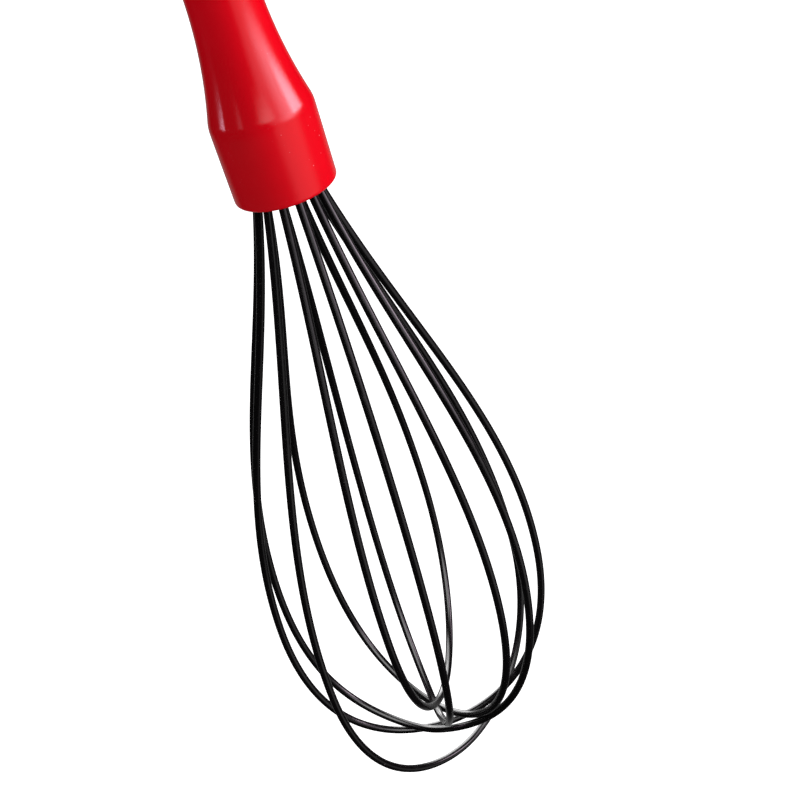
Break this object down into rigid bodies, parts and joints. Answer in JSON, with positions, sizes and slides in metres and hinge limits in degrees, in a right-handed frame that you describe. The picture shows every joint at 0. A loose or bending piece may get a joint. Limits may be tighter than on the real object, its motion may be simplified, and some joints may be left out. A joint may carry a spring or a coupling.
{
  "type": "balloon whisk",
  "caption": "Hand balloon whisk: red moulded handle with a flared collar and a hanging hole, and black coated wire loops crossing at a rounded tip.",
  "frame": {"origin": "middle of the hanging hole in the flat tab at the handle's rear end", "axes": "+Z along the handle from the wire loops towards the rear end, +Y along the hanging hole, square to the tab's two flats; the loops hang down to -Z"},
  "size_m": [0.0769, 0.0692, 0.3],
  "materials": {
    "handle_plastic": "glossy red, moulded",
    "holder_plastic": "dark, moulded",
    "seal_resin": "poured resin",
    "wire_coating": "glossy black coating",
    "wire_core": "drawn spring wire"
  },
  "bodies": {
    "root": {"handle": "handle_plastic", "wire_holder": "holder_plastic", "seal": "seal_resin", "loop_1_coating": "wire_coating", "loop_2_coating": "wire_coating", "loop_3_coating": "wire_coating", "loop_4_coating": "wire_coating", "loop_5_coating": "wire_coating", "loop_6_coating": "wire_coating", "loop_1_core": "wire_core", "loop_2_core": "wire_core", "loop_3_core": "wire_core", "loop_4_core": "wire_core", "loop_5_core": "wire_core", "loop_6_core": "wire_core"}
  },
  "joints": []
}
